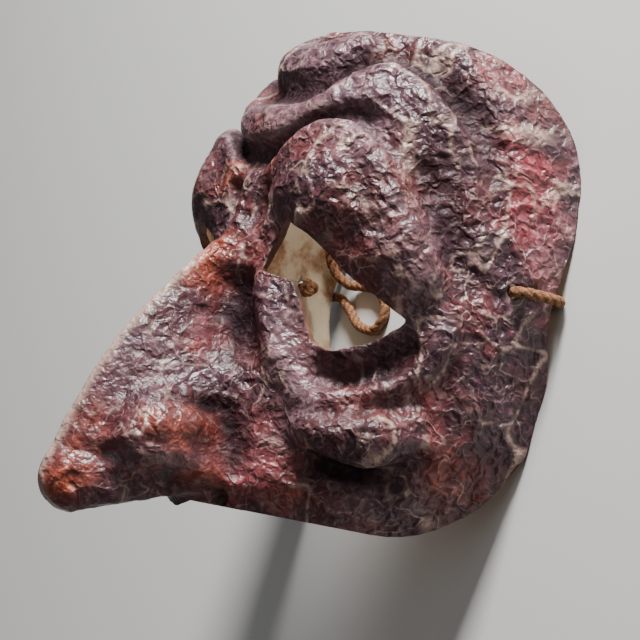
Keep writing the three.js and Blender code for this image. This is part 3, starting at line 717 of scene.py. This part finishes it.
def skin(points):
    """How far each point of the outer face is pushed out; how pale its crest, how clear its thin
    lines, how deep its fine relief and how dull its finish are; and its colour. Painted shade darkens
    its hollows and sunken folds, and a painted highlight runs along the ridge of the nose."""
    raised, sunken = folds_felt(points)
    # Painted shade: the listed dark places and the sunken folds are darkened as if in shadow
    painted_shade = share_of(points, PAINTED_SHADE_PLACES)
    painted_shade = np.clip(painted_shade + 0.9 * np.clip(sunken / FULL_FOLD, 0, 1), 0, 1)
    relief = 1 - np.clip(share_of(points, CALM_PLACES), 0, 1)
    push, crest = crumples(points, relief)
    # Raised folds add a painted highlight to the pale crests, which fade where the shade is painted
    crest = (crest + 0.15 * np.clip(raised / FULL_FOLD, 0, 1)) * (1 - 0.85 * painted_shade)
    # Painted highlight: a pale line along the lit ridge of the nose
    along_bridge = np.clip((points[:, 2] - BRIDGE_FROM_Z) / BRIDGE_FADE, 0, 1)
    bridge_highlight = np.exp(-(points[:, 0] / BRIDGE_HALF_WIDTH)**2) * along_bridge
    crest = np.clip(np.maximum(crest, 0.9 * bridge_highlight), 0, 1)
    lines = 0.5 + 0.8 * soft_noise(points, *LINE_BREAKS) + 0.5 * share_of(points, PINK_PLACES)
    lines = (1 - 0.9 * painted_shade) * (0.25 + 0.75 * relief) * np.clip(lines, 0.15, 1)
    fine_relief = (0.3 + 0.7 * relief) * (1 - 0.3 * painted_shade)
    looks = {"crest": crest, "lines": lines, "relief": fine_relief, "matt": painted_shade}
    return push, looks, leather_colours(points, painted_shade)


# Blender objects

def add_object(name, vertices, faces, material, smooth=True):
    mesh = bpy.data.meshes.new(name)
    mesh.from_pydata(in_metres(vertices).tolist(), [], [list(face) for face in faces])
    mesh.polygons.foreach_set("use_smooth", np.full(len(mesh.polygons), smooth))
    mesh.materials.append(material)
    made = bpy.data.objects.new(name, mesh)
    bpy.context.scene.collection.objects.link(made)
    return made


def prism(name, outline, sweep, material):
    """A closed outline of 3-D points swept both ways along a vector."""
    count = len(outline)
    base = np.asarray(outline, float)
    sweep = np.asarray(sweep, float)
    vertices = np.concatenate([base - sweep, base + sweep])
    faces = [list(range(count))[::-1], list(range(count, 2 * count))]
    faces += [[i, (i + 1) % count, count + (i + 1) % count, count + i] for i in range(count)]
    turn = np.cross(base, np.roll(base, -1, 0)).sum(0) @ sweep
    if turn < 0:
        faces = [face[::-1] for face in faces]
    return add_object(name, vertices, faces, material, smooth=False)


def corner_arc(centre_y, centre_z, radius_y, radius_z, first, last):
    angles = np.radians(np.linspace(first, last, CORNER_STEPS))
    return [(0, centre_y + radius_y * np.cos(a), centre_z + radius_z * np.sin(a)) for a in angles]


def rim_outline():
    """The mask's side as the rim cuts it, with a low arch over each tie cord."""
    top_y, top_z = TOP_RADII
    bottom_y, bottom_z = BOTTOM_RADII
    outline = [(0, FACE_TOP, BEYOND_Z)]
    outline += corner_arc(FACE_TOP - top_y, top_z, top_y, top_z, 0, -90)
    for y in np.linspace(FLAT_FROM, -FLAT_FROM, ARCH_STEPS):
        outline.append((0, y, ARCH_HEIGHT * np.cos(np.pi / 2 * y / FLAT_FROM)**2))
    outline += corner_arc(FACE_BOTTOM + bottom_y, bottom_z, bottom_y, bottom_z, -90, -180)
    outline.append((0, FACE_BOTTOM, FRONT_CORNER_Z))
    outline += [(0, BEYOND_Y, NOSE_CLEAR_Z), (0, BEYOND_Y, BEYOND_Z)]
    return outline


def eye_outline(side):
    """The eye opening with its corners a little rounded."""
    looped = np.array(EYE_OUTLINE + EYE_OUTLINE[:3], float)
    rounded = []
    for i in range(1, len(EYE_OUTLINE) + 1):
        before, here, after = looped[i - 1], looped[i], looped[i + 1]
        rounded.append(here + (before - here) * EYE_CORNER_SHARE)
        rounded.append(here * (1 - 2 * EYE_CORNER_PULL) + (before + after) * EYE_CORNER_PULL)
        rounded.append(here + (after - here) * EYE_CORNER_SHARE)
    return [(side * x, y, EYE_PLANE_Z) for x, y in rounded]


def tie_hole_outline(side):
    angles = np.radians(np.arange(0, 360, TIE_HOLE_TURN))
    across, up = TIE_HOLE_RADIUS * np.cos(angles), TIE_HOLE_RADIUS * np.sin(angles)
    return [(side * TIE_HOLE_X, TIE_HOLE_Y + a, TIE_HOLE_Z + u) for a, u in zip(across, up)]


def cut(target, tool, operation):
    modifier = target.modifiers.new("cut", "BOOLEAN")
    modifier.operation = operation
    modifier.object = tool
    modifier.solver = "MANIFOLD"
    modifier.material_mode = "TRANSFER"
    bpy.context.view_layer.objects.active = target
    bpy.ops.object.modifier_apply(modifier=modifier.name)
    bpy.data.objects.remove(tool)


# The cord

def cord_route():
    far_side = [(-x, y, z) for x, y, z in reversed(CORD_ROUND_RIM)]
    return np.array(CORD_ROUND_RIM + CORD_INSIDE + far_side, float)


def centripetal(points, spacing):
    """A centripetal Catmull-Rom curve through points, resampled evenly."""
    steps = 40
    first = 2 * points[0] - points[1]
    last = 2 * points[-1] - points[-2]
    p = np.vstack([first, points, last])
    drawn = []
    for i in range(len(points) - 1):
        p0, p1, p2, p3 = p[i:i + 4]
        t1, t2, t3 = (np.linalg.norm(b - a)**0.5 for a, b in ((p0, p1), (p1, p2), (p2, p3)))
        v1 = ((p1 - p0) / t1 - (p2 - p0) / (t1 + t2) + (p2 - p1) / t2) * t2
        v2 = ((p2 - p1) / t2 - (p3 - p1) / (t2 + t3) + (p3 - p2) / t3) * t2
        t = np.arange(steps)[:, None] / steps
        drawn.append(hermite(t, p1, v1, p2, v2))
    drawn = np.concatenate(drawn + [points[-1:]])
    lengths = np.concatenate([[0], np.cumsum(np.linalg.norm(np.diff(drawn, axis=0), axis=1))])
    wanted = np.linspace(0, lengths[-1], int(lengths[-1] / spacing) + 1)
    return np.stack([np.interp(wanted, lengths, drawn[:, k]) for k in range(3)], 1)


def frames_along(path, closed):
    """Two directions across the path at each point, carried along without turning."""
    ahead, behind = np.roll(path, -1, 0), np.roll(path, 1, 0)
    if not closed:
        ahead[-1], behind[0] = path[-1], path[0]
    tangent = ahead - behind
    tangent /= np.linalg.norm(tangent, axis=1)[:, None]
    across = np.empty_like(path)
    nearly_upright = 0.1
    start = np.cross(tangent[0], (0.0, 0.0, 1.0))
    if np.linalg.norm(start) < nearly_upright:
        start = np.cross(tangent[0], (0.0, 1.0, 0.0))
    current = start / np.linalg.norm(start)
    for i, direction in enumerate(tangent):
        current = current - direction * (current @ direction)
        current /= np.linalg.norm(current)
        across[i] = current
    return across, np.cross(tangent, across)


def tube_faces(rings, sides, closed):
    """Quads between rings of vertices, and a cap at each end of an open tube."""
    faces = []
    for i in range(rings if closed else rings - 1):
        here, after = i * sides, ((i + 1) % rings) * sides
        for k in range(sides):
            beside = (k + 1) % sides
            faces.append((here + k, here + beside, after + beside, after + k))
    if not closed:
        faces.append(tuple(range(sides))[::-1])
        faces.append(tuple((rings - 1) * sides + k for k in range(sides)))
    return faces


def twisted_tube(name, path, radius, twist_length, material, closed=False):
    """A cord of strands laid together, with loose fibres lifting its surface."""
    across, up = frames_along(path, closed)
    run = np.linalg.norm(np.diff(path, axis=0), axis=1)
    along = np.concatenate([[0], np.cumsum(run)])
    angles = 2 * np.pi * np.arange(CORD_SIDES) / CORD_SIDES
    turn = angles[None, :] - 2 * np.pi * along[:, None] / twist_length
    strand = np.abs(np.cos(STRANDS / 2 * turn))
    thickness = radius * (GROOVE_SHARE + STRAND_SHARE * strand**STRAND_POWER)
    rng = np.random.default_rng(FIBRE_SEED)
    thickness = thickness + rng.normal(0, FIBRE_LIFT, thickness.shape)
    ring = across[:, None] * np.cos(angles)[None, :, None]
    ring = ring + up[:, None] * np.sin(angles)[None, :, None]
    vertices = (path[:, None] + ring * thickness[:, :, None]).reshape(-1, 3)
    made = add_object(name, vertices, tube_faces(len(path), CORD_SIDES, closed), material)
    groove = made.data.attributes.new("strand", "FLOAT", "POINT")
    groove.data.foreach_set("value", strand.reshape(-1).astype(np.float32))
    return made


def knot(name, centre, side, material):
    """A small overhand knot: a trefoil of the cord drawn tight."""
    t = np.linspace(0, 2 * np.pi, KNOT_STEPS, endpoint=False)
    x = side * KNOT_SIZE * KNOT_FLATNESS * np.sin(3 * t)
    y = KNOT_SIZE * (np.sin(t) + 2 * np.sin(2 * t))
    z = KNOT_SIZE * (np.cos(t) - 2 * np.cos(2 * t))
    path = np.stack([x, y, z], 1) + centre
    return twisted_tube(name, path, KNOT_CORD_RADIUS, KNOT_TWIST_LENGTH, material, closed=True)


def tie_cord(material):
    path = centripetal(cord_route(), CORD_STEP)
    made = twisted_tube("tie_cord_twisted", path, CORD_RADIUS, CORD_TWIST_LENGTH, material)
    knots = [knot("left_knot", path[0], 1, material), knot("right_knot", path[-1], -1, material)]
    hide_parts("tie_cord")
    for piece in [made] + knots:
        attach(piece, "root")
    marks = in_metres(path[::3]).tolist() + in_metres(path[-1:]).tolist()


# Materials

class Shader:
    """A material. Each method adds a node and gives the socket that comes out of it."""

    def __init__(self, name, base, roughness):
        self.material = bpy.data.materials.new(name)
        self.material.use_nodes = True
        self.nodes = self.material.node_tree.nodes
        self.surface = self.nodes["Principled BSDF"]
        self.surface.inputs["Base Color"].default_value = (*base, 1)
        self.surface.inputs["Roughness"].default_value = roughness

    def link(self, output, socket):
        self.material.node_tree.links.new(output, socket)

    def to_surface(self, output, name):
        self.link(output, self.surface.inputs[name])

    def attribute(self, name, output="Fac"):
        node = self.nodes.new("ShaderNodeAttribute")
        node.attribute_name = name
        return node.outputs[output]

    def place(self):
        return self.nodes.new("ShaderNodeTexCoord").outputs["Object"]

    def noise(self, place, scale, detail, roughness=0.6, output="Fac"):
        node = self.nodes.new("ShaderNodeTexNoise")
        node.inputs["Scale"].default_value = scale
        node.inputs["Detail"].default_value = detail
        node.inputs["Roughness"].default_value = roughness
        self.link(place, node.inputs["Vector"])
        return node.outputs[output]

    def ramp(self, value, stops):
        """A ramp of colours, or of greys where a stop has a plain number."""
        node = self.nodes.new("ShaderNodeValToRGB")
        self.link(value, node.inputs["Fac"])
        elements = node.color_ramp.elements
        for i, (position, colour) in enumerate(stops):
            element = elements[i] if i < 2 else elements.new(position)
            element.position = position
            element.color = (*(colour if isinstance(colour, tuple) else (colour,) * 3), 1)
        return node.outputs["Color"]

    def mixed(self, share, first, second, way="MIX"):
        """Two colours mixed; share and the colours may be sockets or constants."""
        node = self.nodes.new("ShaderNodeMix")
        node.data_type = "RGBA"
        node.blend_type = way
        factor, first_socket, second_socket, result = 0, 6, 7, 2
        for i, value in ((factor, share), (first_socket, first), (second_socket, second)):
            if isinstance(value, tuple):
                node.inputs[i].default_value = (*value, 1)
            elif isinstance(value, float):
                node.inputs[i].default_value = value
            else:
                self.link(value, node.inputs[i])
        return node.outputs[result]

    def product(self, *factors):
        made = factors[0]
        for factor in factors[1:]:
            made = self.mixed(1.0, made, factor, "MULTIPLY")
        return made

    def maths(self, operation, first, second):
        node = self.nodes.new("ShaderNodeMath")
        node.operation = operation
        self.link(first, node.inputs[0])
        self.link(second, node.inputs[1])
        return node.outputs[0]

    def vector_maths(self, operation, *values):
        node = self.nodes.new("ShaderNodeVectorMath")
        node.operation = operation
        for socket, value in zip(node.inputs, values):
            if isinstance(value, float):
                socket.default_value = (value, value, value)
            else:
                self.link(value, socket)
        return node.outputs["Vector"]

    def bump(self, height, distance, strength=1.0, under=None):
        node = self.nodes.new("ShaderNodeBump")
        node.inputs["Strength"].default_value = strength
        node.inputs["Distance"].default_value = distance
        self.link(height, node.inputs["Height"])
        if under is not None:
            self.link(under, node.inputs["Normal"])
        return node.outputs["Normal"]

    def creases(self, place, scale):
        """Flat facets between sharp creases as a height; and three distances, of which X is from
        the raised creases and Z runs by itself."""
        bend = 1.4 / scale
        middle_level = 0.5
        wander = self.noise(place, scale * 0.5, detail=2.0, output="Color")
        bent = self.vector_maths("MULTIPLY_ADD", wander, bend, place)
        levels = self.noise(bent, scale, detail=1.0, roughness=0.4, output="Color")
        sizes = self.vector_maths("ABSOLUTE", self.vector_maths("SUBTRACT", levels, middle_level))
        apart = self.nodes.new("ShaderNodeSeparateXYZ")
        self.link(sizes, apart.inputs[0])
        return self.maths("SUBTRACT", apart.outputs["Y"], apart.outputs["X"]), apart.outputs

    def broken_lines(self, distances, most, width, whole_from):
        """Thin lines on the raised creases, gone where the third distance is short."""
        gone_until = 0.03
        lines = self.ramp(distances["X"], [(0.0, most), (width, 0)])
        return self.product(lines, self.ramp(distances["Z"], [(gone_until, 0), (whole_from, 1)]))


def leather_colour(shader, place, middle, by_broad, by_middle):
    """The painted colours, darker in the creases, with pale crests and thin pale lines on them,
    partly wear and partly painted highlight.
    """
    lines_here = shader.attribute("lines")
    specks = shader.noise(place, scale=1300.0, detail=3.0)
    depth = shader.ramp(middle, [(0.0, (0.7, 0.68, 0.7)), (0.12, 1.25)])
    speckle = shader.ramp(specks, [(0.3, (0.75, 0.72, 0.72)), (0.75, 1.25)])
    colour = shader.product(shader.attribute("tint", "Color"), depth, speckle)
    # Pale crests: partly worn paint, partly painted highlight where the ridges catch the light
    worn_and_lit = shader.ramp(shader.attribute("crest"), [(0.15, 0), (0.9, 0.7)])
    colour = shader.mixed(worn_and_lit, colour, (0.50, 0.34, 0.27))
    # Thin pale lines along the raised creases: partly wear, partly painted highlight
    lines = shader.broken_lines(by_broad, most=0.7, width=0.02, whole_from=0.13)
    colour = shader.mixed(shader.product(lines, lines_here), colour, (0.55, 0.40, 0.33))
    fainter = shader.broken_lines(by_middle, most=0.5, width=0.025, whole_from=0.12)
    return shader.mixed(shader.product(fainter, lines_here), colour, (0.46, 0.30, 0.27))


def lacquered_leather():
    shader = Shader("lacquered_leather", base=(0.12, 0.04, 0.035), roughness=0.4)
    place = shader.place()
    broad, by_broad = shader.creases(place, scale=105.0)
    middle, by_middle = shader.creases(place, scale=210.0)
    fine, _ = shader.creases(place, scale=420.0)
    colour = leather_colour(shader, place, middle, by_broad, by_middle)
    shader.to_surface(colour, "Base Color")

    matt = shader.attribute("matt")
    patches = shader.noise(place, scale=110.0, detail=4.0)
    gloss = shader.ramp(patches, [(0.35, 0.33), (0.7, 0.48)])
    shader.to_surface(shader.mixed(matt, gloss, (0.6, 0.6, 0.6)), "Roughness")
    shader.to_surface(shader.ramp(matt, [(0.0, 0.5), (0.9, 0.06)]), "Specular IOR Level")

    relief = shader.attribute("relief")
    normal = shader.bump(shader.maths("MULTIPLY", broad, relief), distance=0.0030)
    normal = shader.bump(shader.maths("MULTIPLY", middle, relief), distance=0.0020, under=normal)
    normal = shader.bump(fine, distance=0.0006, strength=0.8, under=normal)
    shader.to_surface(normal, "Normal")
    return shader.material


def bare_lining():
    """The unlacquered inside: cream with brown stains."""
    shader = Shader("bare_lining", base=(0.6, 0.48, 0.33), roughness=0.8)
    place = shader.place()
    stains = shader.noise(place, scale=38.0, detail=6.0, roughness=0.65)
    colour = shader.ramp(stains, [
        (0.36, (0.11, 0.035, 0.015)), (0.46, (0.36, 0.19, 0.09)), (0.55, (0.62, 0.49, 0.33)),
        (0.75, (0.72, 0.60, 0.43)),
    ])
    shader.to_surface(colour, "Base Color")
    grain = shader.noise(place, scale=500.0, detail=5.0)
    shader.to_surface(shader.bump(grain, distance=0.0004, strength=0.4), "Normal")
    return shader.material


def cut_edge():
    shader = Shader("cut_edge", base=(0.12, 0.045, 0.028), roughness=0.6)
    grain = shader.noise(shader.place(), scale=260.0, detail=5.0)
    colour = shader.ramp(grain, [(0.3, (0.06, 0.022, 0.016)), (0.7, (0.22, 0.09, 0.05))])
    shader.to_surface(colour, "Base Color")
    return shader.material


def twisted_cord():
    shader = Shader("twisted_cord", base=(0.30, 0.13, 0.05), roughness=0.85)
    fibres = shader.noise(shader.place(), scale=1100.0, detail=5.0, roughness=0.7)
    body = shader.ramp(fibres, [
        (0.3, (0.06, 0.020, 0.008)), (0.5, (0.24, 0.090, 0.030)), (0.72, (0.50, 0.26, 0.11)),
    ])
    # Painted shade in the grooves between the strands
    shade = shader.ramp(shader.attribute("strand"), [(0.0, (0.18, 0.16, 0.16)), (0.55, 1)])
    shader.to_surface(shader.product(body, shade), "Base Color")
    shader.to_surface(shader.bump(fibres, distance=0.0009), "Normal")
    return shader.material


def pale_floor():
    return Shader("pale_floor", base=(0.62, 0.61, 0.59), roughness=0.9).material


# The mask

def mask_shell():
    vertices, quads = surface_nets(face_distance, OUTER_CELL)
    vertices, quads = divided(settled(face_distance, vertices, 2), quads)
    vertices = settled(face_distance, vertices, 1)
    normals = gradient(face_distance, vertices)
    normals /= np.linalg.norm(normals, axis=1)[:, None]
    push, looks, colours = skin(vertices)
    pushed = vertices + normals * push[:, None]
    shell = add_object("mask_shell_crumpled", pushed, quads, lacquered_leather())

    inner, inner_quads = surface_nets(lambda points: face_distance(points) + WALL, INNER_CELL)
    cut(shell, add_object("lining", inner, inner_quads, bare_lining()), "DIFFERENCE")

    edge = cut_edge()
    cut(shell, prism("rim_block", rim_outline(), (HALF_SPAN, 0, 0), edge), "INTERSECT")
    for side in (1, -1):
        sweep = EYE_CUT_REACH * np.array((side * EYE_LEAN, 0, 1))
        cut(shell, prism("eye_block", eye_outline(side), sweep, edge), "DIFFERENCE")
        sweep = (TIE_HOLE_REACH, 0, 0)
        cut(shell, prism("hole_block", tie_hole_outline(side), sweep, edge), "DIFFERENCE")

    paint(shell, in_metres(pushed), looks, colours)
    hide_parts("mask_shell")
    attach(shell, "root")


def paint(shell, places, looks, colours):
    """Gives each vertex of the cut shell the look of the nearest place of the skin."""
    tree = KDTree(len(places))
    for i, place in enumerate(places):
        tree.insert(place, i)
    tree.balance()
    nearest = [tree.find(vertex.co)[1] for vertex in shell.data.vertices]
    tint = shell.data.attributes.new("tint", "FLOAT_COLOR", "POINT")
    rgba = np.concatenate([colours[nearest], np.ones((len(nearest), 1))], 1)
    tint.data.foreach_set("color", rgba.astype(np.float32).reshape(-1))
    for name, values in looks.items():
        made = shell.data.attributes.new(name, "FLOAT", "POINT")
        made.data.foreach_set("value", values[nearest].astype(np.float32))


# Camera, floor and lights

# The camera in millimetres: its distance from the mask's own origin, the middle of its view from
# there, the view's width at that distance and the sensor's width
DISTANCE = 900.0
VIEW_CENTRE_ACROSS = -45.5
VIEW_CENTRE_UP = -4.07
VIEW_WIDTH = 236.8
SENSOR = 36.0

# Clipping distances and the floor's half width in metres
CLIP_NEAR = 0.01
CLIP_FAR = 20
FLOOR_REACH = 4.0

# Direction in the view, power in watts, size and distance in metres
LIGHTS = {
    "key": ((0.0, 1.0, 0.32), 53, 0.3, 1.2),
    "side": ((1.0, 0.55, 0.35), 15, 0.4, 1.2),
    "fill": ((-0.9, 0.1, 0.9), 2, 0.9, 1.4),
}
WORLD_COLOUR = (0.93, 0.96, 1)
WORLD_STRENGTH = 0.12


def view_axes():
    """Mask axes in the view: columns are X, Y and Z, rows are right, up and toward the camera."""
    # Found from both rims and the ridge of the nose in the photo
    x_right, x_up, y_right = 0.49, -0.02, 0.19
    x_toward = np.sqrt(1 - x_right**2 - x_up**2)
    a = 1 + (x_up / x_toward)**2
    b = 2 * y_right * x_right * x_up / x_toward**2
    c = y_right**2 + (y_right * x_right / x_toward)**2 - 1
    y_up = (-b + np.sqrt(b * b - 4 * a * c)) / (2 * a)
    x_axis = np.array((x_right, x_up, x_toward))
    y_axis = np.array((y_right, y_up, -(y_right * x_right + y_up * x_up) / x_toward))
    return np.stack([x_axis, y_axis, np.cross(x_axis, y_axis)], 1)


def camera():
    axes = view_axes()
    place = axes.T @ np.array((VIEW_CENTRE_ACROSS, VIEW_CENTRE_UP, DISTANCE))
    data = bpy.data.cameras.new("camera")
    made = bpy.data.objects.new("camera", data)
    bpy.context.scene.collection.objects.link(made)
    turn = Matrix(axes.T.tolist()).to_4x4()
    made.matrix_world = Matrix.Translation(Vector(in_metres(place))) @ turn
    data.sensor_width = SENSOR
    data.lens = SENSOR * DISTANCE / VIEW_WIDTH
    data.clip_start = CLIP_NEAR
    data.clip_end = CLIP_FAR
    bpy.context.scene.camera = made


def floor():
    mesh = bpy.data.meshes.new("floor")
    signs = ((-1, -1), (1, -1), (1, 1), (-1, 1))
    corners = [(x * FLOOR_REACH, y * FLOOR_REACH, 0) for x, y in signs]
    mesh.from_pydata(corners, [], [(0, 1, 2, 3)])
    mesh.materials.append(pale_floor())
    made = bpy.data.objects.new("floor", mesh)
    bpy.context.scene.collection.objects.link(made)


def soft_light(name, direction, energy, size, distance):
    data = bpy.data.lights.new(name, "AREA")
    data.energy = energy
    data.size = size
    made = bpy.data.objects.new(name, data)
    bpy.context.scene.collection.objects.link(made)
    toward = Vector(view_axes().T @ np.array(direction)).normalized()
    made.location = toward * distance
    made.rotation_mode = "QUATERNION"
    made.rotation_quaternion = toward.to_track_quat("Z", "Y")


def studio():
    floor()
    for name, values in LIGHTS.items():
        soft_light(name, *values)
    world = bpy.data.worlds.new("world")
    bpy.context.scene.world = world
    world.use_nodes = True
    background = world.node_tree.nodes["Background"]
    background.inputs["Color"].default_value = (*WORLD_COLOUR, 1)
    background.inputs["Strength"].default_value = WORLD_STRENGTH


camera()
tie_cord(twisted_cord())
studio()
mask_shell()

bpy.context.view_layer.update()
